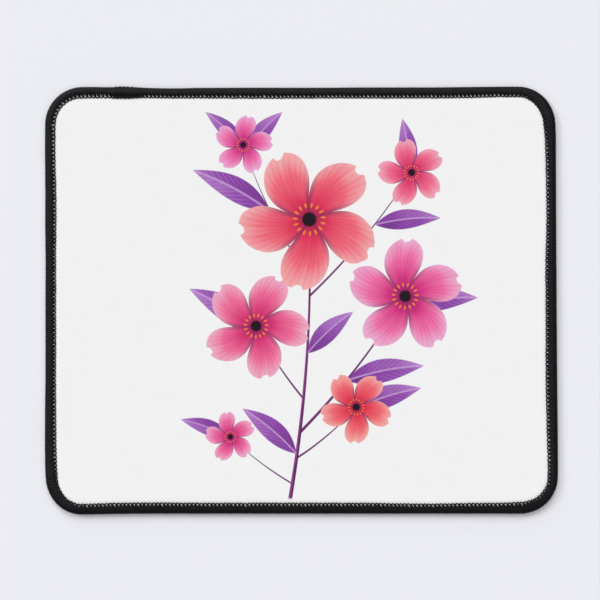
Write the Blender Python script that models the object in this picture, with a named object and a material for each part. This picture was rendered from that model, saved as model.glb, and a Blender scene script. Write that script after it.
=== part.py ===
"""Mouse pad: a cloth face bonded to a foam rubber base, with a three-thread overlocked edge.

Units are metres and +Z is up. The origin is on the table, under the middle of the pad,
and +X runs along the long side. An inset is measured inwards from the pad's outer edge.
"""

import math

import bmesh
import bpy

# Overall size, over the stitched edge
PAD_LENGTH = 0.240
PAD_WIDTH = 0.200
CORNER_RADIUS = 0.017
CORNER_STEPS = 12

# Layers, from the table up
BASE_THICKNESS = 0.0023
FILM_THICKNESS = 0.00012
CLOTH_THICKNESS = 0.0005
BOND_GAP = 0.00004

# Overlocked edge
BAND_WIDTH = 0.0049
WRAP_THICKNESS = 0.0006
BAND_CROWN = 0.0002
EDGE_ROUND = 0.0014
ROUND_STEPS = 6
NEEDLE_THREAD_DIAMETER = 0.0005
NEEDLE_THREAD_SIDES = 8
THREAD_GAP = 0.00008
LOOPER_GAP = 0.0001

# The edge that the stitching squeezes
RIM_PRESS = 0.0003
PRESS_SLOPE = 0.0008

# Colours are linear red, green and blue
CLOTH_WHITE = (0.87, 0.87, 0.87)
FILM_MILKY = (0.75, 0.74, 0.70)
RUBBER_BLACK = (0.012, 0.012, 0.013)
THREAD_BLACK = (0.010, 0.010, 0.012)

# Heights that follow from the layers
BASE_TOP = BASE_THICKNESS
FILM_TOP = BASE_TOP + BOND_GAP + FILM_THICKNESS
CLOTH_TOP = FILM_TOP + BOND_GAP + CLOTH_THICKNESS
RIM_TOP = CLOTH_TOP - RIM_PRESS
RIM_BOTTOM = WRAP_THICKNESS + THREAD_GAP

# Insets that follow from the stitching
CUT_INSET = WRAP_THICKNESS + THREAD_GAP
NEEDLE_INSET = BAND_WIDTH - NEEDLE_THREAD_DIAMETER / 2
LOOPER_INSET = BAND_WIDTH - NEEDLE_THREAD_DIAMETER - THREAD_GAP
RIM_INSET = BAND_WIDTH + THREAD_GAP

# The band's section
LOOPER_SEAT = RIM_TOP + THREAD_GAP
BAND_TOP = LOOPER_SEAT + WRAP_THICKNESS + BAND_CROWN
EDGE_MIDDLE = BAND_TOP / 2


def clear_scene():
    for thing in list(bpy.data.objects):
        bpy.data.objects.remove(thing, do_unlink=True)


def new_collection(name):
    collection = bpy.data.collections.new(name)
    bpy.context.scene.collection.children.link(collection)
    return collection


def make_material(name, colour, roughness):
    material = bpy.data.materials.new(name)
    material.use_nodes = True
    shader = material.node_tree.nodes["Principled BSDF"]
    shader.inputs["Base Color"].default_value = (*colour, 1.0)
    shader.inputs["Roughness"].default_value = roughness
    shader.inputs["Metallic"].default_value = 0.0
    return material


def arc(centre, radii, start, end, steps):
    """Points of an elliptical arc between two angles in degrees, ends included."""
    points = []
    for step in range(steps + 1):
        angle = math.radians(start + (end - start) * step / steps)
        points.append((centre[0] + radii[0] * math.cos(angle), centre[1] + radii[1] * math.sin(angle)))
    return points


def rounded_outline(inset):
    """The pad's rounded rectangle, drawn counter-clockwise at an inset from the outer edge."""
    across = PAD_LENGTH / 2 - CORNER_RADIUS
    along = PAD_WIDTH / 2 - CORNER_RADIUS
    radius = CORNER_RADIUS - inset
    corners = ((across, along), (-across, along), (-across, -along), (across, -along))
    points = []
    for turn, centre in enumerate(corners):
        points += arc(centre, (radius, radius), 90 * turn, 90 * turn + 90, CORNER_STEPS)
    return points


def closed_curve(name, points):
    """A closed flat curve through straight-line points, in the XY plane."""
    curve = bpy.data.curves.new(name, "CURVE")
    curve.dimensions = "2D"
    curve.fill_mode = "NONE"
    spline = curve.splines.new("POLY")
    spline.points.add(len(points) - 1)
    for point, (x, y) in zip(spline.points, points):
        point.co = (x, y, 0.0, 1.0)
    spline.use_cyclic_u = True
    return bpy.data.objects.new(name, curve)


def pressed_face(bm, centre_height, rim_height):
    """One side of a sheet: flat, with its stitched rim pressed to another height."""
    verts = [bm.verts.new((x, y, rim_height)) for x, y in rounded_outline(CUT_INSET)]
    face = bm.faces.new(verts)
    face.normal_update()
    for width in (RIM_INSET - CUT_INSET, PRESS_SLOPE):
        bmesh.ops.inset_region(bm, faces=[face], thickness=width, use_even_offset=True, use_boundary=True)
    for vert in face.verts:
        vert.co.z = centre_height


def sheet(name, bottom, top, rim_bottom, rim_top, material, collection):
    """A sheet between two pressed faces, joined by its cut edge."""
    bm = bmesh.new()
    pressed_face(bm, bottom, rim_bottom)
    pressed_face(bm, top, rim_top)
    bmesh.ops.bridge_loops(bm, edges=[edge for edge in bm.edges if edge.is_boundary])
    bmesh.ops.recalc_face_normals(bm, faces=bm.faces)
    mesh = bpy.data.meshes.new(name)
    bm.to_mesh(mesh)
    bm.free()
    mesh.materials.append(material)
    piece = bpy.data.objects.new(name, mesh)
    collection.objects.link(piece)
    return piece


def looper_ring(name, section, material, collection, guides):
    """A looper thread's wrap: its section, in inset and height, carried round the outer edge."""
    profile = closed_curve(name + "_section", section)
    profile.hide_render = True
    profile.display_type = "WIRE"
    guides.objects.link(profile)
    ring = closed_curve(name, rounded_outline(0.0))
    ring.data.bevel_mode = "OBJECT"
    ring.data.bevel_object = profile
    ring.data.materials.append(material)
    collection.objects.link(ring)
    return ring


def upper_looper_section():
    """The top of the band, from the middle of the edge over the crown to the needle line."""
    seam = EDGE_MIDDLE + LOOPER_GAP / 2
    tip = NEEDLE_THREAD_DIAMETER
    rolled = arc((EDGE_ROUND, seam), (EDGE_ROUND, BAND_TOP - seam), 180, 90, ROUND_STEPS)
    inner_end = arc((LOOPER_INSET - tip, LOOPER_SEAT), (tip, tip), 90, 0, ROUND_STEPS)
    return rolled + inner_end + [(WRAP_THICKNESS, LOOPER_SEAT), (WRAP_THICKNESS, seam)]


def lower_looper_section():
    """The underside of the band, from the middle of the edge down and in along the table."""
    seam = EDGE_MIDDLE - LOOPER_GAP / 2
    inside = [(WRAP_THICKNESS, seam), (WRAP_THICKNESS, WRAP_THICKNESS), (LOOPER_INSET, WRAP_THICKNESS)]
    rolled = arc((EDGE_ROUND, seam), (EDGE_ROUND, seam), 270, 180, ROUND_STEPS)
    return inside + [(LOOPER_INSET, 0.0)] + rolled


def needle_ring(name, material, collection):
    """The needle thread's row of stitches, along the inner edge of the band."""
    ring = closed_curve(name, rounded_outline(NEEDLE_INSET))
    ring.data.dimensions = "3D"
    ring.data.bevel_depth = NEEDLE_THREAD_DIAMETER / 2
    ring.data.bevel_resolution = NEEDLE_THREAD_SIDES // 2 - 2
    ring.data.materials.append(material)
    ring.location.z = LOOPER_SEAT + NEEDLE_THREAD_DIAMETER / 2
    collection.objects.link(ring)
    return ring


def main():
    clear_scene()
    pad = new_collection("mouse_pad")
    guides = new_collection("guides")

    cloth = make_material("white_cloth", CLOTH_WHITE, 0.85)
    film = make_material("bond_film", FILM_MILKY, 0.45)
    rubber = make_material("black_rubber", RUBBER_BLACK, 0.80)
    thread = make_material("black_thread", THREAD_BLACK, 0.75)

    film_bottom = BASE_TOP + BOND_GAP
    cloth_bottom = FILM_TOP + BOND_GAP
    sheet("rubber_base", 0.0, BASE_TOP, RIM_BOTTOM, BASE_TOP - RIM_PRESS, rubber, pad)
    sheet("bond_film", film_bottom, FILM_TOP, film_bottom - RIM_PRESS, FILM_TOP - RIM_PRESS, film, pad)
    sheet("cloth_face", cloth_bottom, CLOTH_TOP, cloth_bottom - RIM_PRESS, RIM_TOP, cloth, pad)

    looper_ring("upper_looper_thread", upper_looper_section(), thread, pad, guides)
    looper_ring("lower_looper_thread", lower_looper_section(), thread, pad, guides)
    needle_ring("needle_thread", thread, pad)


main()
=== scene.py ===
import math

import bpy
import numpy as np
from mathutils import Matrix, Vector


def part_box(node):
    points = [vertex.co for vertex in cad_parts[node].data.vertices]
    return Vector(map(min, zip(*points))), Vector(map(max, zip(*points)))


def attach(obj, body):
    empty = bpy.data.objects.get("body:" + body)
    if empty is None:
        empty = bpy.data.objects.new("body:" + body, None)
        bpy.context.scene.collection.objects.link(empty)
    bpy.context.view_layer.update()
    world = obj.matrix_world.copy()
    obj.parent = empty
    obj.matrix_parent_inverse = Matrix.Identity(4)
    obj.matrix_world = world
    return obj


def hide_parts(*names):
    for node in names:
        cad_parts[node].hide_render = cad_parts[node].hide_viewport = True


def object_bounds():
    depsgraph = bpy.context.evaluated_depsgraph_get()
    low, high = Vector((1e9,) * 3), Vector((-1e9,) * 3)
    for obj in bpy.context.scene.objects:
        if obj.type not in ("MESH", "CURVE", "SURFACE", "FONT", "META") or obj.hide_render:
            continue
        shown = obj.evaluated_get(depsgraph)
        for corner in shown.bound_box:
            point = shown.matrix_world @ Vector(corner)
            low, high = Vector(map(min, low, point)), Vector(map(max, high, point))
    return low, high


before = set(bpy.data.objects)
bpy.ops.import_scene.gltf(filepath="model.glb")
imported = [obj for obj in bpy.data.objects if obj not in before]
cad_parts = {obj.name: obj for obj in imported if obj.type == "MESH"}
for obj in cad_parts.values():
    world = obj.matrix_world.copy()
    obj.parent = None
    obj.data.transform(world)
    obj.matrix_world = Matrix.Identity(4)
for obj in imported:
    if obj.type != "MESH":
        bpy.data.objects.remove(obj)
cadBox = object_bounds()
mm = 0.001

# Heights and sizes that the solids give
padHigh = cadBox[1]
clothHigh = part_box("cloth_face")[1]
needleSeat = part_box("needle_thread")[0].z
halfLength, halfWidth = padHigh.x, padHigh.y
clothTop = clothHigh.z
cutInset = halfLength - clothHigh.x

# Outline of the pad and how the sewing let it stray. The stray tables are in millimetres.
padEdge = {
    "cornerRadius": 17.0 * mm,
    "stitchPitch": 1.87 * mm,
    "needleInset": 4.35 * mm,      # where the needle holes are
    "joinStart": -73.0 * mm,       # x on the top edge where the seam starts
    "joinStitches": 9,             # stitches sewn twice where it ends
    "straySmoothing": 4.0,         # each way along the edge, in mm
    "strayFade": 0.3,              # share of the way out where the stray begins
    "topStray": [                  # x and how far the top edge is moved in y
        (-110, 0.0), (-101, 0.30), (-90, 0.15), (-75, -0.10), (-61, -0.45), (-47, -0.15), (-20, -0.08),
        (9, -0.12), (30, 0.05), (65, 0.07), (80, 0.27), (98, 0.43), (105, 0.38), (110, 0.34),
    ],
    "bottomStray": [
        (-110, -0.74), (-100, -0.53), (-84, -0.27), (-70, -0.16), (0, -0.19), (93, -0.16), (100, -0.28),
        (110, 0.0),
    ],
    "leftStray": [                 # y and how far the left edge is moved in x
        (-90, 0.60), (-86, 0.40), (-80, -0.02), (-68, -0.18), (-51, -0.12), (-37, 0.10), (0, 0.08),
        (18, 0.18), (37, -0.05), (51, 0.03), (70, -0.16), (82, -0.08), (90, 0.14),
    ],
    "rightStray": [
        (-90, 0.63), (-78, 0.84), (-65, 0.75), (-37, 0.46), (0, 0.20), (37, -0.02), (65, -0.11),
        (78, -0.16), (90, -0.75),
    ],
    "needleStray": [               # place along the needle line and how far it is moved inwards
        (2, 0.05), (9, -0.10), (25, 0.18), (75, 0.20), (93, 0.03), (112, 0.17), (140, 0.08), (164, -0.30),
        (178, -0.15), (190, 0.15), (206, 0.45), (213, 0.10), (240, -0.12), (257, 0.20), (271, 0.33),
        (289, -0.08), (330, 0.06), (346, -0.05), (360, 0.26), (383, 0.50), (393, 0.80), (406, 0.15),
        (420, 0.15), (430, 0.35), (470, 0.23), (542, 0.23), (565, -0.12), (580, -0.26), (597, 0.20),
        (608, 0.15), (619, 0.90), (628, 0.20), (640, -0.22), (655, 0.15), (680, 0.56), (705, 0.38),
        (740, 0.24), (758, -0.38), (775, -0.24), (795, 0.20), (807, 1.05), (812, 0.80), (820, -0.10),
    ],
    "tension": [                   # side or corner, how closed its stitches are, how far back and how wide
        (1, -0.6, 16.0, 8.0), (1, -0.6, -11.0, 8.0), (2, 0.34, -10.0, 60.0), (3, 1.0, 4.0, 12.0),
        (5, 0.4, 0.0, 12.0), (6, 0.34, 0.0, 60.0), (7, 1.0, 4.0, 12.0),
    ],
}


def smoothStep(low, high, value):
    share = np.clip((value - low) / (high - low), 0.0, 1.0)
    return share * share * (3.0 - 2.0 * share)


def bump(value, centre, width):
    return np.exp(-(((value - centre) / width) ** 2))


refInset = padEdge["needleInset"]
cornerArc = padEdge["cornerRadius"] - refInset
straightX = halfLength - padEdge["cornerRadius"]
straightY = halfWidth - padEdge["cornerRadius"]
turnLength = cornerArc * math.pi / 2
edgeLengths = np.array([2 * straightX, turnLength, 2 * straightY, turnLength] * 2)
edgeStarts = np.concatenate([[0.0], np.cumsum(edgeLengths)])
perimeter = edgeStarts[-1]


# The needle line as a rounded rectangle, walked anticlockwise from the right end of the top edge.
# A straight run moves along its side, and a corner turns about its centre by length over radius.
def edgeFrame(along):
    along = np.mod(along, perimeter)
    run = np.clip(np.searchsorted(edgeStarts, along, side="right") - 1, 0, 7)
    inRun = along - edgeStarts[run]
    quarter = run // 2                      # 0 top, 1 left, 2 bottom, 3 right
    onCorner = run % 2 == 1
    angle = math.pi / 2 * (1 + quarter) + np.where(onCorner, inRun / cornerArc, 0.0)
    outX, outY = np.cos(angle), np.sin(angle)
    cornerX = np.choose(quarter, [-straightX, -straightX, straightX, straightX])
    cornerY = np.choose(quarter, [straightY, -straightY, -straightY, straightY])
    startX = np.choose(quarter, [straightX, -straightX, -straightX, straightX])
    startY = np.choose(quarter, [straightY, straightY, -straightY, -straightY])
    moveX, moveY = -outY, outX
    baseX = np.where(onCorner, cornerX, startX + moveX * inRun)
    baseY = np.where(onCorner, cornerY, startY + moveY * inRun)
    bend = np.where(onCorner, 1.0 / cornerArc, 0.0)
    return baseX + outX * cornerArc, baseY + outY * cornerArc, outX, outY, bend


# A value from a table, averaged over a few millimetres so that the line has no kinks.
def fromTable(name, place, period=None):
    table = np.array(padEdge[name]) * mm
    spread = np.linspace(-padEdge["straySmoothing"], padEdge["straySmoothing"], 9) * mm
    values = [np.interp(place + step, table[:, 0], table[:, 1], period=period) for step in spread]
    return np.mean(values, axis=0)


# Each side strays by its table, and the stray fades towards the middle of the pad.
def stray(x, y):
    fade = padEdge["strayFade"]
    right = smoothStep(fade, 1.0, x / halfLength)
    left = smoothStep(fade, 1.0, -x / halfLength)
    top = smoothStep(fade, 1.0, y / halfWidth)
    bottom = smoothStep(fade, 1.0, -y / halfWidth)
    shiftX = right * fromTable("rightStray", y) + left * fromTable("leftStray", y)
    shiftY = top * fromTable("topStray", x) + bottom * fromTable("bottomStray", x)
    return x + shiftX, y + shiftY


# A point of the pad from its place along the needle line, its inset and its height.
def padPoint(along, inset, height):
    x, y, outX, outY = edgeFrame(along)[:4]
    x, y = stray(x + outX * (refInset - inset), y + outY * (refInset - inset))
    return np.stack([x, y, np.broadcast_to(height, x.shape)], axis=-1)


def gridQuads(rows, columns, closeRows=False, closeColumns=False):
    row = np.arange(rows if closeRows else rows - 1)[:, None]
    column = np.arange(columns if closeColumns else columns - 1)[None, :]
    nextRow, nextColumn = (row + 1) % rows, (column + 1) % columns
    corners = [row * columns + column, row * columns + nextColumn,
               nextRow * columns + nextColumn, nextRow * columns + column]
    return np.stack(np.broadcast_arrays(*corners), axis=-1).reshape(-1, 4)


# The volume that the faces close in, from the tetrahedra that they make with the origin.
def signedVolume(points, quads):
    a, b, c, d = (points[quads[:, i]] for i in range(4))
    return (np.einsum("ij,ij->i", a, np.cross(b, c)) + np.einsum("ij,ij->i", a, np.cross(c, d))).sum() / 6


def makePiece(name, points, faces, material, uv=None, node=None):
    mesh = bpy.data.meshes.new(name)
    mesh.from_pydata(points.reshape(-1, 3).tolist(), [], faces)
    if uv is not None:
        layer = mesh.uv_layers.new(name="along")
        layer.data.foreach_set("uv", uv.astype(np.float32).ravel())
    mesh.shade_smooth()
    mesh.materials.append(material)
    piece = bpy.data.objects.new(name, mesh)
    bpy.context.scene.collection.objects.link(piece)
    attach(piece, "root")
    if node:
        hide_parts(node)
    return piece


# A thread: an ellipse carried along a path, wide across the band and flatter away from it.
# Each ring is the path point plus width times cosine sideways plus height times sine upwards.
def threadMesh(path, upward, width, height, sides):
    along = np.gradient(path, axis=0)
    along /= np.linalg.norm(along, axis=1, keepdims=True)
    across = np.cross(along, upward)
    across /= np.linalg.norm(across, axis=1, keepdims=True)
    upward = np.cross(across, along)
    angle = np.arange(sides) * 2 * math.pi / sides
    ring = across[:, None, :] * (width[:, None] * np.cos(angle))[..., None]
    ring = ring + upward[:, None, :] * (height[:, None] * np.sin(angle))[..., None]
    points = (path[:, None, :] + ring).reshape(-1, 3)
    quads = gridQuads(len(path), sides, closeColumns=True)
    if signedVolume(points, quads) < 0:
        quads = quads[:, ::-1]
    length = np.concatenate([[0.0], np.cumsum(np.linalg.norm(np.diff(path, axis=0), axis=1))])
    row, column = quads // sides, quads % sides
    wraps = (column == 0) & (column.max(axis=1, keepdims=True) == sides - 1)
    around = np.where(wraps, sides, column) / sides
    uv = np.stack([length[row] / mm, around], axis=-1).reshape(-1, 2)
    caps = [list(range(sides)), list(range(len(points) - sides, len(points)))]
    if np.cross(points[1] - points[0], points[2] - points[1]) @ along[0] > 0:
        caps[0].reverse()
    else:
        caps[1].reverse()
    faces = quads.tolist() + caps
    uv = np.concatenate([uv, np.zeros((2 * sides, 2))])
    return points, faces, uv


# Materials
def addNode(tree, kind, inputs=None, **settings):
    made = tree.nodes.new(kind)
    for key, value in settings.items():
        setattr(made, key, value)
    for key, value in (inputs or {}).items():
        if isinstance(value, bpy.types.NodeSocket):
            tree.links.new(value, made.inputs[key])
        else:
            made.inputs[key].default_value = value
    return made


def calc(tree, operation, a, b=0.0, c=0.0):
    return addNode(tree, "ShaderNodeMath", {0: a, 1: b, 2: c}, operation=operation).outputs[0]


def blendColour(tree, share, first, second, mode="MIX"):
    made = addNode(tree, "ShaderNodeMix", {0: share, 6: first, 7: second}, data_type="RGBA", blend_type=mode)
    return made.outputs[2]


def ramp(tree, share, stops):
    made = addNode(tree, "ShaderNodeValToRGB", {"Fac": share})
    band = made.color_ramp
    for place, colour in stops[2:]:
        band.elements.new(place)
    for element, (place, colour) in zip(band.elements, sorted(stops)):
        element.position = place
        element.color = (*colour, 1.0)
    return made.outputs["Color"]


def softEdge(tree, value, low, high):
    made = addNode(tree, "ShaderNodeMapRange", {"Value": value, "From Min": low, "From Max": high},
                   interpolation_type="SMOOTHSTEP")
    return made.outputs["Result"]


def noise(tree, where, scale, detail):
    made = addNode(tree, "ShaderNodeTexNoise", {"Vector": where, "Scale": scale, "Detail": detail})
    return made.outputs["Fac"]


def startMaterial(name, roughness, sheen, specular):
    material = bpy.data.materials.new(name)
    material.use_nodes = True
    tree = material.node_tree
    shader = tree.nodes["Principled BSDF"]
    shader.inputs["Roughness"].default_value = roughness
    shader.inputs["Sheen Weight"].default_value = sheen
    shader.inputs["Specular IOR Level"].default_value = specular
    return material, tree, shader


def addBump(tree, shader, height, strength, distance):
    made = addNode(tree, "ShaderNodeBump", {"Height": height, "Strength": strength, "Distance": distance})
    tree.links.new(made.outputs["Normal"], shader.inputs["Normal"])


threadLook = {
    "colour": (0.0012, 0.0009, 0.0024),
    "fibreColour": (0.0040, 0.0034, 0.0060),
    "fibresAround": 9.0,
    "twist": 0.34,                 # turns of the fibres for each millimetre of thread
    "fuzzScale": 2100.0,
    "fuzzPull": 9.0,               # how far the fuzz moves the fibres, in radians of their wave
    "bumpDepth": 0.05 * mm,
}


# Fibres run along the thread and twist slowly round it, read from its own length and girth.
def threadMaterial():
    material, tree, shader = startMaterial("blackThread", roughness=0.34, sheen=0.06, specular=0.17)
    shader.inputs["Sheen Roughness"].default_value = 0.22
    uv = addNode(tree, "ShaderNodeUVMap", uv_map="along").outputs["UV"]
    split = addNode(tree, "ShaderNodeSeparateXYZ", {0: uv})
    turned = calc(tree, "MULTIPLY_ADD", split.outputs["X"], threadLook["twist"], split.outputs["Y"])
    where = addNode(tree, "ShaderNodeTexCoord").outputs["Object"]
    fuzz = noise(tree, where, threadLook["fuzzScale"], 4.0)
    wave = calc(tree, "MULTIPLY", turned, 2 * math.pi * threadLook["fibresAround"])
    wave = calc(tree, "SINE", calc(tree, "MULTIPLY_ADD", fuzz, threadLook["fuzzPull"], wave))
    strand = calc(tree, "MULTIPLY_ADD", wave, 0.5, 0.5)
    patch = noise(tree, where, 420.0, 2.0)
    share = calc(tree, "MULTIPLY", strand, softEdge(tree, patch, 0.3, 0.75))
    colour = blendColour(tree, share, (*threadLook["colour"], 1), (*threadLook["fibreColour"], 1))
    tree.links.new(colour, shader.inputs["Base Color"])
    addBump(tree, shader, calc(tree, "MULTIPLY_ADD", fuzz, 0.6, strand), 0.4, threadLook["bumpDepth"])
    return material


rubberLook = {
    "colour": (0.011, 0.011, 0.012),
    "dustColour": (0.020, 0.0195, 0.019),
    # painted shade for the hollows of the dimples
    "paintedHollowShadeColour": (0.0035, 0.0035, 0.004),
    "reliefPitch": 3.6 * mm,       # of the dimples on the underside
    "poreScale": 2200.0,
    "bumpDepth": 0.06 * mm,
}


# Foam rubber: fine pores under a thin skin, with a little pale dust held in patches. The hollows of the
# dimples, where the sum of a cosine along and one across is high, are darkened in colour as painted shade.
def rubberMaterial():
    material, tree, shader = startMaterial("blackRubber", roughness=0.78, sheen=0.0, specular=0.3)
    where = addNode(tree, "ShaderNodeTexCoord").outputs["Object"]
    pores = addNode(tree, "ShaderNodeTexVoronoi", {"Vector": where, "Scale": rubberLook["poreScale"]})
    pits = softEdge(tree, pores.outputs["Distance"], 0.15, 0.5)
    patch = noise(tree, where, 55.0, 6.0)
    dusty = calc(tree, "MULTIPLY_ADD", softEdge(tree, patch, 0.4, 0.8), 0.5, 0.5)
    share = calc(tree, "MULTIPLY", dusty, pits)
    colour = blendColour(tree, share, (*rubberLook["colour"], 1), (*rubberLook["dustColour"], 1))
    split = addNode(tree, "ShaderNodeSeparateXYZ", {0: where})
    turns = 2 * math.pi / rubberLook["reliefPitch"]
    waves = [calc(tree, "COSINE", calc(tree, "MULTIPLY", split.outputs[axis], turns)) for axis in "XY"]
    # Painted shade: the colour is darkened in the hollows of the dimples.
    paintedHollowShade = softEdge(tree, calc(tree, "ADD", *waves), -1.2, 2.0)
    colour = blendColour(tree, calc(tree, "MULTIPLY", paintedHollowShade, 0.8), colour, (*rubberLook["paintedHollowShadeColour"], 1))
    tree.links.new(colour, shader.inputs["Base Color"])
    rough = calc(tree, "MULTIPLY_ADD", patch, 0.2, 0.66)
    tree.links.new(rough, shader.inputs["Roughness"])
    addBump(tree, shader, pits, 0.7, rubberLook["bumpDepth"])
    return material


filmLook = {
    "thinColour": (0.66, 0.65, 0.61),
    "thickColour": (0.80, 0.79, 0.75),
    "cloudScale": 90.0,
    "bumpDepth": 0.03 * mm,
}


# Hot-melt film: milky, with faint clouds where it was pressed.
def filmMaterial():
    material, tree, shader = startMaterial("milkyFilm", roughness=0.42, sheen=0.0, specular=0.45)
    where = addNode(tree, "ShaderNodeTexCoord").outputs["Object"]
    cloud = noise(tree, where, filmLook["cloudScale"], 5.0)
    colour = ramp(tree, cloud, [(0.3, filmLook["thinColour"]), (0.7, filmLook["thickColour"])])
    tree.links.new(colour, shader.inputs["Base Color"])
    addBump(tree, shader, cloud, 0.3, filmLook["bumpDepth"])
    return material


# The print, a loose spray of five-petalled blossoms, in millimetres from the middle of the pad
printLook = {
    "blossoms": [                  # x, y, radius, turn in degrees, warmth from 0 pink to 1 coral
        (4, 38, 33, 12, 0.85), (49, 2, 27, 40, 0.25), (-21, -12, 25, -8, 0.45),
        (52, 60, 16, 25, 0.60), (-27, 73, 14, 50, 0.15), (26, -50, 17, 5, 0.95), (-33, -64, 12, 30, 0.30),
    ],
    "stems": [                     # foot x, y, head x, y, half width and bow as shares of the length
        (-5, -93, 4, 38, 0.0085, 0.10), (-0.5, -62, 49, 2, 0.011, 0.12), (1.2, -46, -21, -12, 0.016, -0.12),
        (4, 2, 52, 60, 0.009, 0.12), (4.2, 10, -27, 73, 0.008, -0.14), (-2, -74, 26, -50, 0.018, 0.14),
        (-3.9, -86, -33, -64, 0.015, -0.12),
    ],
    "leaves": [                    # stem, share along it, side, length, half width share, turn in degrees
        (0, 0.16, 1, 34, 0.15, 58), (0, 0.52, -1, 30, 0.16, 44), (1, 0.40, -1, 38, 0.15, 40),
        (1, 0.93, -1, 38, 0.15, 52), (3, 0.60, -1, 32, 0.15, 46), (3, 0.97, 1, 28, 0.16, 40),
        (4, 0.52, 1, 42, 0.14, 36), (4, 0.95, -1, 26, 0.16, 62), (6, 0.98, 1, 26, 0.15, 24),
        (2, 0.90, 1, 40, 0.15, 30), (5, 0.95, -1, 34, 0.16, 30), (4, 0.97, 1, 26, 0.15, 28),
    ],
    "pinkPetal": [(0.0, (0.16, 0.006, 0.10)), (1.0, (0.80, 0.42, 0.72)),
                  (0.30, (0.62, 0.03, 0.26)), (0.68, (0.83, 0.16, 0.44))],
    "coralPetal": [(0.0, (0.30, 0.008, 0.05)), (1.0, (0.88, 0.40, 0.36)),
                   (0.30, (0.74, 0.035, 0.07)), (0.68, (0.85, 0.13, 0.15))],
    "leafColour": [(0.0, (0.10, 0.015, 0.16)), (1.0, (0.50, 0.24, 0.62)), (0.5, (0.26, 0.06, 0.38))],
    "stemColour": (0.10, 0.012, 0.10, 1),
    "stemLight": (0.34, 0.07, 0.30, 1),
    "heart": (0.012, 0.004, 0.010, 1),
    "pollen": (0.84, 0.20, 0.05, 1),
    "crease": (0.20, 0.008, 0.09, 1),
    "leafRib": (0.66, 0.42, 0.74, 1),
    "petalSwirl": 0.28,            # how far a petal turns from its foot to its tip, in radians
    "petalVeins": 62.0,
    "notchDepth": 0.07,
    "heartSize": 0.12,
    "anthers": 15.0,
    "leafBow": 0.16,
    "leafVeins": 66.0,
}


# A blossom's rim is its radius times a share that rises and falls as the root of a cosine, five times round,
# with a shallow notch at the tip of each petal.
def blossomLayer(tree, x, y, under, streak, place):
    centreX, centreY, radius, turn, warmth = place
    offX, offY = calc(tree, "SUBTRACT", x, centreX), calc(tree, "SUBTRACT", y, centreY)
    reach = calc(tree, "SQRT", calc(tree, "MULTIPLY_ADD", offX, offX, calc(tree, "MULTIPLY", offY, offY)))
    reach = calc(tree, "DIVIDE", reach, radius)
    angle = calc(tree, "ADD", calc(tree, "ARCTAN2", offY, offX), math.radians(turn))
    angle = calc(tree, "MULTIPLY_ADD", reach, printLook["petalSwirl"], angle)
    lobe = calc(tree, "ABSOLUTE", calc(tree, "COSINE", calc(tree, "MULTIPLY", angle, 2.5)))
    rim = calc(tree, "MULTIPLY_ADD", calc(tree, "POWER", lobe, 0.52), 0.70, 0.32)
    rim = calc(tree, "MULTIPLY_ADD", softEdge(tree, lobe, 0.975, 1.0), -printLook["notchDepth"], rim)
    rim = calc(tree, "MULTIPLY_ADD", calc(tree, "ADD", streak, -0.5), 0.06, rim)
    inside = softEdge(tree, calc(tree, "SUBTRACT", rim, reach), 0.0, 0.5 / radius)
    veins = calc(tree, "MULTIPLY", angle, printLook["petalVeins"])
    veins = calc(tree, "SINE", calc(tree, "MULTIPLY_ADD", streak, 5.0, veins))
    share = calc(tree, "DIVIDE", reach, rim)
    share = calc(tree, "MULTIPLY_ADD", veins, 0.035, share)
    share = calc(tree, "MULTIPLY_ADD", streak, 0.30, calc(tree, "ADD", share, -0.15))
    petal = blendColour(tree, warmth, ramp(tree, share, printLook["pinkPetal"]),
                        ramp(tree, share, printLook["coralPetal"]))
    crease = calc(tree, "MULTIPLY", softEdge(tree, lobe, 0.62, 0.0), softEdge(tree, reach, 1.0, 0.25))
    petal = blendColour(tree, calc(tree, "MULTIPLY", crease, 0.75), petal, printLook["crease"])
    dots = calc(tree, "COSINE", calc(tree, "MULTIPLY", angle, printLook["anthers"]))
    ring = calc(tree, "POWER", calc(tree, "MULTIPLY_ADD", reach, 23.0, -4.6), 2.0)
    dots = softEdge(tree, calc(tree, "SUBTRACT", dots, ring), 0.05, 0.55)
    petal = blendColour(tree, dots, petal, printLook["pollen"])
    heart = softEdge(tree, reach, printLook["heartSize"], 0.085)
    petal = blendColour(tree, heart, petal, printLook["heart"])
    return blendColour(tree, inside, under, petal)


# Places along and beside a bowed line, as shares of its length. A parabola bows it to the right
# of its heading.
def alongLine(tree, x, y, foot, head, bow):
    runX, runY = head[0] - foot[0], head[1] - foot[1]
    square = runX * runX + runY * runY
    offX, offY = calc(tree, "SUBTRACT", x, foot[0]), calc(tree, "SUBTRACT", y, foot[1])
    along = calc(tree, "MULTIPLY_ADD", offX, runX / square, calc(tree, "MULTIPLY", offY, runY / square))
    across = calc(tree, "MULTIPLY_ADD", offX, -runY / square, calc(tree, "MULTIPLY", offY, runX / square))
    arch = calc(tree, "MULTIPLY", along, calc(tree, "SUBTRACT", 1.0, along))
    aside = calc(tree, "MULTIPLY_ADD", arch, bow, across)
    return along, arch, aside, math.sqrt(square)


def stemLayer(tree, x, y, under, streak, place):
    along, arch, aside, length = alongLine(tree, x, y, place[:2], place[2:4], place[5])
    onRun = calc(tree, "MULTIPLY", softEdge(tree, along, -0.006, 0.006), softEdge(tree, along, 1.0, 0.99))
    taper = calc(tree, "MULTIPLY_ADD", along, -0.55 * place[4], place[4])
    inside = softEdge(tree, calc(tree, "SUBTRACT", taper, calc(tree, "ABSOLUTE", aside)), 0.0, 0.3 / length)
    lit = softEdge(tree, calc(tree, "MULTIPLY_ADD", streak, place[4], aside), 0.0, 1.4 * place[4])
    bark = blendColour(tree, lit, printLook["stemColour"], printLook["stemLight"])
    return blendColour(tree, calc(tree, "MULTIPLY", inside, onRun), under, bark)


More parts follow.
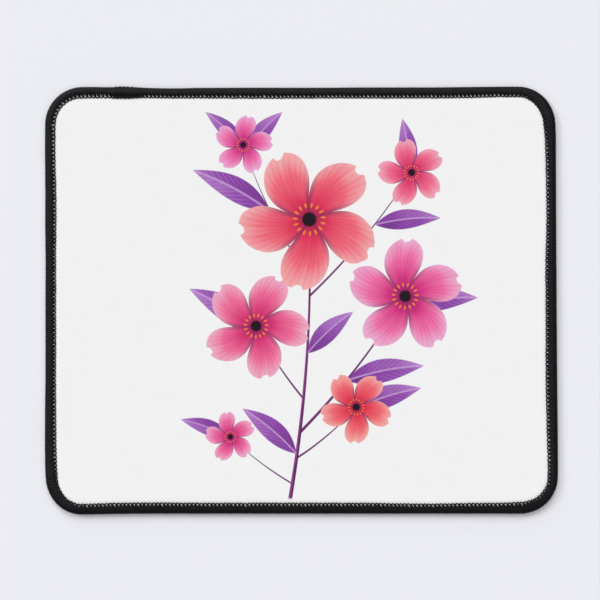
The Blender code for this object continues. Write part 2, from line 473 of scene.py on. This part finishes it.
# A leaf is a lens about a bowed rib, and grows from a point of its stem at a turn from the stem's heading.
def leafLayer(tree, x, y, under, streak, place):
    stem, share, side, size, half, turn = place
    footX, footY, headX, headY = printLook["stems"][stem][:4]
    bow = printLook["stems"][stem][5]
    runX, runY = headX - footX, headY - footY
    slope = bow * (1 - 2 * share)
    offset = bow * share * (1 - share)
    foot = (footX + runX * share + runY * offset, footY + runY * share - runX * offset)
    heading = math.atan2(runY - runX * slope, runX + runY * slope) + side * math.radians(turn)
    head = (foot[0] + size * math.cos(heading), foot[1] + size * math.sin(heading))
    along, arch, aside, length = alongLine(tree, x, y, foot, head, printLook["leafBow"] * side)
    beside = calc(tree, "ABSOLUTE", aside)
    taper = calc(tree, "MULTIPLY", arch, calc(tree, "MULTIPLY_ADD", along, -0.5, 1.25))
    wide = calc(tree, "MULTIPLY", taper, 4 * half)
    inside = softEdge(tree, calc(tree, "SUBTRACT", wide, beside), 0.0, 0.5 / length)
    inside = calc(tree, "MULTIPLY", inside, softEdge(tree, arch, 0.0, 0.02))
    ribs = calc(tree, "MULTIPLY", along, printLook["leafVeins"])
    ribs = calc(tree, "SINE", calc(tree, "MULTIPLY_ADD", beside, -130.0, ribs))
    shade = calc(tree, "MULTIPLY_ADD", ribs, 0.07, calc(tree, "MULTIPLY_ADD", along, 0.60, -0.02))
    shade = calc(tree, "MULTIPLY_ADD", streak, 0.40, shade)
    shade = calc(tree, "MULTIPLY_ADD", softEdge(tree, aside, 0.0, 0.01), 0.16, shade)
    blade = ramp(tree, shade, printLook["leafColour"])
    rib = softEdge(tree, beside, 0.016, 0.006)
    blade = blendColour(tree, calc(tree, "MULTIPLY", rib, 0.6), blade, printLook["leafRib"])
    return blendColour(tree, inside, under, blade)


clothLook = {
    "white": (0.905, 0.905, 0.906, 1),
    "shade": (0.825, 0.825, 0.830, 1),
    "threadPitch": 0.42 * mm,
    "yarnPull": 1.6,               # how far uneven yarn moves the weave, in radians of its wave
    "bumpDepth": 0.05 * mm,
}


# Fine plain weave: the product of two sine waves, crossed by a slow unevenness of the yarn.
def clothMaterial():
    material, tree, shader = startMaterial("whiteCloth", roughness=0.86, sheen=0.12, specular=0.2)
    shader.inputs["Sheen Roughness"].default_value = 0.5
    where = addNode(tree, "ShaderNodeTexCoord").outputs["Object"]
    split = addNode(tree, "ShaderNodeSeparateXYZ", {0: where})
    yarn = noise(tree, where, 900.0, 2.0)
    turns = 2 * math.pi / clothLook["threadPitch"]
    warp = calc(tree, "MULTIPLY", split.outputs["X"], turns)
    warp = calc(tree, "SINE", calc(tree, "MULTIPLY_ADD", yarn, clothLook["yarnPull"], warp))
    weft = calc(tree, "MULTIPLY", split.outputs["Y"], turns)
    weft = calc(tree, "SINE", calc(tree, "MULTIPLY_ADD", yarn, clothLook["yarnPull"], weft))
    weave = calc(tree, "MULTIPLY_ADD", calc(tree, "MULTIPLY", warp, weft), 0.5, 0.5)
    slub = noise(tree, where, 130.0, 4.0)
    share = calc(tree, "MULTIPLY", weave, calc(tree, "MULTIPLY_ADD", slub, 0.35, 0.05))
    white = blendColour(tree, share, clothLook["white"], clothLook["shade"])
    x = calc(tree, "DIVIDE", split.outputs["X"], mm)
    y = calc(tree, "DIVIDE", split.outputs["Y"], mm)
    streak = noise(tree, where, 95.0, 5.0)
    colour = white
    for place in reversed(printLook["stems"]):
        colour = stemLayer(tree, x, y, colour, streak, place)
    for place in printLook["leaves"]:
        colour = leafLayer(tree, x, y, colour, streak, place)
    for place in reversed(printLook["blossoms"]):
        colour = blossomLayer(tree, x, y, colour, streak, place)
    dim = calc(tree, "MULTIPLY_ADD", share, -0.12, 1.0)
    tint = addNode(tree, "ShaderNodeCombineColor", {0: dim, 1: dim, 2: dim}).outputs[0]
    colour = blendColour(tree, 1.0, colour, tint, "MULTIPLY")
    tree.links.new(colour, shader.inputs["Base Color"])
    addBump(tree, shader, calc(tree, "MULTIPLY_ADD", slub, 0.8, weave), 0.35, clothLook["bumpDepth"])
    return material


blackThread, blackRubber = threadMaterial(), rubberMaterial()
whiteCloth, milkyFilm = clothMaterial(), filmMaterial()
print("materials made")

# Stitches: a whole number of them goes round, and the last few are sewn over the first
stitchCount = round(perimeter / padEdge["stitchPitch"])
pitch = perimeter / stitchCount
sewnStitches = stitchCount + padEdge["joinStitches"]
seamStart = straightX - padEdge["joinStart"]
strayGrain = 48                    # steps of the stray in each stitch
chance = np.random.default_rng(7)


# A stray of its own for each stitch, run together from one to the next.
def uneven(size):
    return np.interp(np.arange(sewnStitches * strayGrain + 1) / strayGrain, np.arange(sewnStitches) + 0.5,
                     chance.normal(0.0, size, sewnStitches))


def atStitch(values, stitch):
    return np.interp(stitch, np.arange(len(values)) / strayGrain, values)


strayAlong = uneven(0.035)         # in stitches
strayAcross = uneven(0.05 * mm)
strayWidth = uneven(0.06)          # as a share
strayEdge = uneven(0.16 * mm)


# How closed the stitches are: 1 in the two tight corners, about 0 to a third on the sides and below 0
# where they gape. Each row of the table adds a bell curve about a place on its side or corner.
def crowding(along):
    tight = 0.0
    for corner, share, back, width in padEdge["tension"]:
        middle = (edgeStarts[corner] + edgeStarts[corner + 1]) / 2 - back * mm
        away = np.abs(np.mod(along - middle + perimeter / 2, perimeter) - perimeter / 2)
        tight = tight + share * bump(away, 0.0, width * mm)
    return tight


def needleStray(along):
    return fromTable("needleStray", np.mod(along, perimeter), perimeter)


# Where the seam runs over its own start: 0 on the first pass, then rising and falling over three stitches.
def joinShare(stitch):
    starts = smoothStep(stitchCount - 0.5, stitchCount + 3.0, stitch)
    return starts * smoothStep(sewnStitches, sewnStitches - 3.0, stitch)


# A cubic Bezier curve in inset and height, and its normal on the outer side.
def bandCurve(share, handles):
    p0, p1, p2, p3 = (np.array(handle) * mm for handle in handles)
    s = share[:, None]
    point = p0 * (1 - s) ** 3 + 3 * p1 * s * (1 - s) ** 2 + 3 * p2 * s ** 2 * (1 - s) + p3 * s ** 3
    slope = (p1 - p0) * (1 - s) ** 2 + 2 * (p2 - p1) * s * (1 - s) + (p3 - p2) * s ** 2
    normal = np.stack([-slope[:, 1], slope[:, 0]], axis=1)
    return point, normal / np.linalg.norm(normal, axis=1, keepdims=True)


upperLooper = {
    "handles": [(4.30, 2.90), (3.7, 3.38), (-0.05, 3.74), (0.18, 1.72)],   # inset and height in mm
    "legs": [0.0, 0.090, 0.155, 0.200, 0.235, 0.250, 0.250, 0.250, 0.252, 0.275, 0.33, 0.41, 0.5],
    "swingMiddle": 0.525,
    "swing": 0.535,
    "tipHalfWidth": 0.30 * mm,
    "bandHalfWidth": 0.65 * mm,
    "halfHeight": 0.27 * mm,
    "leanReach": 0.75 * mm,
    "leanDecay": 1.1 * mm,
    "leanOnShortSides": 0.3,       # as a share of the lean on the long ones
    "broadStart": 0.07,            # swing at which a leg starts to widen
    "broadEnd": 0.41,              # swing at which it is full
    "slackReach": 0.40,            # how much later it is full where the stitches gape
    "tightTip": 1.2,               # how much wider a tip is where they are closed
    "slackTip": 0.5,
    "joinTip": 2.0,
    "joinThin": 0.45,              # how much thinner the second pass is on the edge
    "joinLift": 0.20 * mm,
    "joinInset": 0.40 * mm,
    "joinOut": 0.12 * mm,
    "samples": 24,
    "sides": 8,
}
lowerLooper = dict(upperLooper, handles=[(4.30, 0.40), (3.6, 0.22), (-0.05, -0.02), (0.18, 1.86)],
                   halfHeight=0.26 * mm, joinLift=0.0, joinInset=0.0, joinOut=0.0)


# A looper thread advances one pitch for each stitch while it swings, as a cosine, between the needle hole
# and the middle of the edge. A table of leg places, from the hole to the edge, holds its legs side by side.
def looperThread(name, node, form, flip):
    stitch = np.arange(sewnStitches * form["samples"] + 1) / form["samples"]
    swing = form["swingMiddle"] + form["swing"] * np.cos(2 * math.pi * stitch)
    point, normal = bandCurve(swing, form["handles"])
    normal = normal * (-1 if flip else 1)
    beat = np.mod(stitch, 1.0) - 0.5
    leg = np.sign(beat) * np.interp(np.abs(beat), np.linspace(0.0, 0.5, len(form["legs"])), form["legs"])
    along = seamStart + pitch * (np.floor(stitch) + 0.5 + leg + atStitch(strayAlong, stitch))
    outward = np.clip(refInset - point[:, 0], 0.0, None)
    onShort = form["leanOnShortSides"]
    lean = form["leanReach"] * (onShort + (1 - onShort) * np.abs(edgeFrame(along)[3]))
    lean = lean * (1 - np.exp(-outward / form["leanDecay"]))
    second = joinShare(stitch)
    tight = crowding(along)
    nearNeedle = smoothStep(0.6, 0.1, swing)
    inset = point[:, 0] + nearNeedle * (second * form["joinInset"] + needleStray(along))
    inset = inset + atStitch(strayAcross, stitch) * smoothStep(0.5, 0.0, swing)
    inset = inset + second * (atStitch(strayEdge, stitch) - form["joinOut"]) * smoothStep(0.6, 1.0, swing)
    lift = second * form["joinLift"]
    outX, outY, bend = edgeFrame(along + lean)[2:]
    path = padPoint(along + lean, inset - normal[:, 0] * lift, point[:, 1] + normal[:, 1] * lift)
    upward = np.stack([-outX * normal[:, 0], -outY * normal[:, 0], normal[:, 1]], axis=1)
    fan = 1 + bend * outward
    full = form["broadEnd"] + form["slackReach"] * np.clip(-tight, 0.0, 1.0)
    broad = smoothStep(form["broadStart"], full, swing)
    closed = np.where(tight > 0, form["tightTip"], form["slackTip"]) * tight
    closed = np.maximum(closed, form["joinTip"] * second)
    tip = np.minimum(form["tipHalfWidth"] * (1 + closed), form["bandHalfWidth"])
    width = (tip + (form["bandHalfWidth"] - tip) * broad) * fan
    width = width * (1 - form["joinThin"] * second * smoothStep(0.7, 1.0, swing))
    width = width * (1 + atStitch(strayWidth, stitch))
    height = form["halfHeight"] * (1 + 0.5 * atStitch(strayWidth, stitch))
    made = threadMesh(path, upward, width, height, form["sides"])
    makePiece(name, made[0], made[1], blackThread, made[2], node)


looperThread("upper_looper_loops", "upper_looper_thread", upperLooper, False)
looperThread("lower_looper_loops", "lower_looper_thread", lowerLooper, True)
print("looper threads sewn:", sewnStitches, "stitches")

needleForm = {
    "halfWidth": 0.31 * mm,
    "joinInset": 0.32 * mm,
    "samples": 28,
    "sides": 6,
    "topHeights": (2.4, 2.9),      # in mm, between which it comes out on the cloth
    "upperTurn": (2.0, 2.7),       # in mm, between which it turns from upright to lying
    "lowerTurn": (1.0, 0.5),
    "stitch": [                    # pitches on, inset from the hole and height, in mm
        (0.00, -0.06, 2.55), (0.06, -0.03, 2.98), (0.22, 0.34, 3.06), (0.50, 0.53, 3.08),
        (0.78, 0.34, 3.06), (0.94, -0.03, 2.98), (1.00, -0.06, 2.50), (1.00, 0.00, 1.50),
        (0.98, 0.05, 0.55), (0.86, 0.30, 0.33), (1.02, 0.48, 0.31), (1.16, 0.26, 0.33),
        (1.03, 0.02, 0.60), (1.00, 0.00, 1.50),
    ],
}


# The needle thread's stitch, a smooth closed beat through its few points: over the cloth to the next hole,
# down through the layers, round the lower looper thread and up again.
def needleThread():
    stops = np.array(needleForm["stitch"])
    count = len(stops)
    stitch = np.arange(sewnStitches * needleForm["samples"] + 1) / needleForm["samples"]
    beat = stitch * count
    index = np.floor(beat).astype(int)
    s = (beat - index)[:, None]

    def stop(offset):
        place = index + offset
        values = stops[np.mod(place, count)].copy()
        values[:, 0] += np.floor_divide(place, count)
        return values

    a, b, c, d = stop(-1), stop(0), stop(1), stop(2)
    squared = 2 * a - 5 * b + 4 * c - d
    cubed = 3 * b - a - 3 * c + d
    curve = 0.5 * (2 * b + (c - a) * s + squared * s ** 2 + cubed * s ** 3)
    along = seamStart + pitch * (curve[:, 0] + 0.5 + atStitch(strayAlong, curve[:, 0]))
    second = joinShare(stitch)
    onTop = smoothStep(*needleForm["topHeights"], curve[:, 2])
    inset = refInset + curve[:, 1] * mm + second * onTop * needleForm["joinInset"] + needleStray(along)
    inset = inset + atStitch(strayAcross, curve[:, 0])
    height = curve[:, 2] * mm + second * onTop * upperLooper["joinLift"]
    path = padPoint(along, inset, height)
    outX, outY = edgeFrame(along)[2:4]
    upright = smoothStep(*needleForm["upperTurn"], curve[:, 2])
    upright = upright + smoothStep(*needleForm["lowerTurn"], curve[:, 2])
    upward = np.stack([outX * (1 - upright), outY * (1 - upright), upright + 0.05], axis=1)
    half = np.full(len(path), needleForm["halfWidth"])
    made = threadMesh(path, upward, half, half * 0.95, needleForm["sides"])
    makePiece("needle_stitches", made[0], made[1], blackThread, made[2], "needle_thread")


needleThread()
print("needle thread sewn")

clothForm = {
    "fineRings": [0.0, 1.2, 2.4, 3.2, 3.7, 4.1, 4.4, 4.7, 5.0, 5.3, 5.6, 6.0, 6.6, 7.5],   # inset in mm
    "coarseInset": 9.0 * mm,
    "coarseScales": [1.0, 0.9, 0.75, 0.6, 0.45, 0.3, 0.15],
    "samplesPerStitch": 4,
    "pressedTo": 4.6 * mm,         # inset up to which the stitching presses it down
    "openFrom": 6.0 * mm,
    "pucker": 0.07 * mm,
    "puckerWidth": 0.8 * mm,
    "wave": 0.05 * mm,
    "waveLength": (19.0 * mm, 23.0 * mm),
    "waveStart": (0.7, 0.3),
    "rimHeight": needleSeat - 0.08 * mm,
    "thickness": 0.46 * mm,
}


# Height of the cloth: pressed under the band, rising to the open face, pulled down at every needle hole.
def clothHeight(along, inset):
    inset = inset - needleStray(along)
    rise = smoothStep(clothForm["pressedTo"], clothForm["openFrom"], inset)
    height = clothForm["rimHeight"] + (clothTop - clothForm["rimHeight"]) * rise
    hole = np.cos(2 * math.pi * ((along - seamStart) / pitch - 0.5))
    near = bump(inset, clothForm["pressedTo"], clothForm["puckerWidth"])
    return height - clothForm["pucker"] * hole * near


# Rings of the outline, close together near the stitching and scaled down towards the middle.
def clothFace():
    fine = stitchCount * clothForm["samplesPerStitch"]
    along = np.arange(fine) * perimeter / fine
    insets = np.maximum(np.array(clothForm["fineRings"]) * mm, cutInset)
    insets[0] = cutInset
    levels = [np.full(fine, inset) for inset in insets]
    rows = [padPoint(along, level, clothHeight(along, level)) for level in levels]
    coarseAlong = along[::clothForm["samplesPerStitch"]]
    ring = padPoint(coarseAlong, np.full(stitchCount, clothForm["coarseInset"]), clothTop)
    coarse = []
    for scale in clothForm["coarseScales"]:
        level = ring * [scale, scale, 1.0]
        ripple = np.sin(level[:, :2] / clothForm["waveLength"] + clothForm["waveStart"])
        level[:, 2] += clothForm["wave"] * ripple[:, 0] * ripple[:, 1] * (1 - scale)
        coarse.append(level)
    points = np.concatenate(rows + coarse)
    quads = gridQuads(len(rows), fine, closeColumns=True)
    step = clothForm["samplesPerStitch"]
    last, first = (len(rows) - 1) * fine, len(rows) * fine
    cell = np.arange(stitchCount)
    joins = [last + np.mod(cell * step + k, fine) for k in range(step + 1)]
    joins += [first + np.mod(cell + 1, stitchCount), first + cell]
    joins = np.stack(joins, axis=1)
    inner = first + gridQuads(len(coarse), stitchCount, closeColumns=True)
    middle = first + (len(coarse) - 1) * stitchCount + cell
    faces = quads.tolist() + joins.tolist() + inner.tolist() + [middle.tolist()]
    piece = makePiece("cloth_sheet", points, faces, whiteCloth, None, "cloth_face")
    if piece.data.polygons[0].normal.z < 0:
        piece.data.flip_normals()
    thick = piece.modifiers.new("thickness", "SOLIDIFY")
    thick.thickness = clothForm["thickness"]
    thick.offset = -1.0
    return piece


clothPiece = clothFace()
print("cloth laid")

rubberForm = {
    "columns": 271,
    "rows": 226,
    "relief": 0.42 * mm,
    "rimRise": 0.66 * mm,
    "rimStart": 5.1 * mm,
    "rimEnd": 6.3 * mm,
    "topGap": 0.02 * mm,
    "topRings": [(0.0, 0.0), (4.6, 0.0), (6.0, 1.0)],   # inset in mm and share of the way to full height
}


# The underside is a grid: rows run across the pad, each as wide as the rounded outline is there.
# It is dimpled by the sum of a cosine along and one across, and rises at the rim, where the stitching
# passes under it. The top, which the film hides, is a few rings and one flat face.
def rubberBase():
    inner = padEdge["cornerRadius"] - cutInset
    rows, columns = rubberForm["rows"], rubberForm["columns"]
    v = np.linspace(-1.0, 1.0, rows)[:, None] * (halfWidth - cutInset)
    overCorner = np.clip(np.abs(v) - straightY, 0.0, inner)
    span = straightX + np.sqrt(np.maximum(inner ** 2 - overCorner ** 2, 0.0))
    x, y = np.linspace(-1.0, 1.0, columns)[None, :] * span, np.broadcast_to(v, (rows, columns))
    sideX, sideY = np.abs(x) - straightX, np.abs(y) - straightY
    corner = np.hypot(np.maximum(sideX, 0.0), np.maximum(sideY, 0.0))
    corner = corner + np.minimum(np.maximum(sideX, sideY), 0.0)
    turns = 2 * math.pi / rubberLook["reliefPitch"]
    placeX, placeY = stray(x, y)
    dimple = 0.5 + 0.25 * (np.cos(turns * placeX) + np.cos(turns * placeY))
    rise = smoothStep(rubberForm["rimEnd"], rubberForm["rimStart"], padEdge["cornerRadius"] - corner)
    low = rubberForm["relief"] * dimple * (1 - rise) + rubberForm["rimRise"] * rise
    under = np.stack([placeX, placeY, low], axis=-1).reshape(-1, 3)
    index = np.arange(rows * columns).reshape(rows, columns)
    rim = np.concatenate([index[0, :-1], index[:-1, -1], index[-1, :0:-1], index[:0:-1, 0]])
    rimX, rimY = x.ravel()[rim], y.ravel()[rim]
    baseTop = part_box("rubber_base")[1].z - rubberForm["topGap"]
    over = []
    for inset, share in rubberForm["topRings"]:
        ringX = rimX * (1 - inset * mm / (halfLength - cutInset))
        ringY = rimY * (1 - inset * mm / (halfWidth - cutInset))
        height = baseTop - (clothTop - clothForm["rimHeight"]) * (1 - share)
        over.append(np.stack([*stray(ringX, ringY), np.full(len(rim), height)], axis=-1))
    size, count = rows * columns, len(rim)
    rings = [rim] + [size + k * count + np.arange(count) for k in range(len(over))]
    faces = gridQuads(rows, columns)[:, ::-1].tolist()
    for outer, nextRing in zip(rings, rings[1:]):
        faces += np.stack([outer, np.roll(outer, -1), np.roll(nextRing, -1), nextRing], axis=1).tolist()
    faces.append(rings[-1].tolist())
    points = np.concatenate([under] + over)
    return makePiece("rubber_sheet", points, faces, blackRubber, None, "rubber_base")


rubberPiece = rubberBase()
print("rubber base made")

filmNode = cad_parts["bond_film"]
filmNode.data.materials.clear()
filmNode.data.materials.append(milkyFilm)

# Table, light and camera
stageForm = {
    "tableSize": 30.0,
    "tableColour": (0.838, 0.845, 0.890, 1),
    "fillStrength": 0.22,
    "suns": [                          # name, strength, where it comes from, angle across in degrees
        ("overhead", 1.00, (0.05, -0.06, 1.0), 90.0),
        ("key", 1.12, (-0.10, 1.05, 1.0), 34.0),
        ("side", 0.88, (-1.25, 0.66, 1.0), 20.0),
        ("low", 0.50, (-1.2, 2.4, 1.0), 30.0),
    ],
    "lens": 100.0,
    "sensor": 36.0,
    "pixelsPerMm": 2.1315,
    "padCentre": (300.75, 300.45),     # where the middle of the pad is in the picture, in pixels
    "frameSize": 600,
}


def tableTop():
    half = stageForm["tableSize"] / 2
    points = np.array([(-half, -half, 0.0), (half, -half, 0.0), (half, half, 0.0), (-half, half, 0.0)])
    mesh = bpy.data.meshes.new("table_top")
    mesh.from_pydata(points.tolist(), [], [(0, 1, 2, 3)])
    table = bpy.data.objects.new("table_top", mesh)
    bpy.context.scene.collection.objects.link(table)
    material, tree, shader = startMaterial("paleTable", roughness=0.6, sheen=0.0, specular=0.2)
    shader.inputs["Base Color"].default_value = stageForm["tableColour"]
    mesh.materials.append(material)


def lights():
    world = bpy.data.worlds.new("studio")
    world.use_nodes = True
    world.node_tree.nodes["Background"].inputs["Color"].default_value = (1.0, 1.0, 1.0, 1.0)
    world.node_tree.nodes["Background"].inputs["Strength"].default_value = stageForm["fillStrength"]
    bpy.context.scene.world = world
    for name, strength, source, angle in stageForm["suns"]:
        lamp = bpy.data.lights.new(name, "SUN")
        lamp.energy = strength
        lamp.angle = math.radians(angle)
        sun = bpy.data.objects.new(name, lamp)
        bpy.context.scene.collection.objects.link(sun)
        sun.rotation_euler = (math.atan2(math.hypot(source[0], source[1]), source[2]), 0.0,
                              math.atan2(source[0], -source[1]))


def camera():
    lens = bpy.data.cameras.new("camera")
    lens.lens, lens.sensor_width = stageForm["lens"], stageForm["sensor"]
    spot = bpy.data.objects.new("camera", lens)
    bpy.context.scene.collection.objects.link(spot)
    seen = stageForm["frameSize"] / stageForm["pixelsPerMm"] * mm
    middle = stageForm["frameSize"] / 2
    offX = (middle - stageForm["padCentre"][0]) / stageForm["pixelsPerMm"] * mm
    offY = (stageForm["padCentre"][1] - middle) / stageForm["pixelsPerMm"] * mm
    spot.location = (offX, offY, clothTop + seen * stageForm["lens"] / stageForm["sensor"])
    bpy.context.scene.camera = spot


tableTop()
lights()
camera()
bpy.context.scene.view_settings.view_transform = "Standard"
print("table, light and camera set")
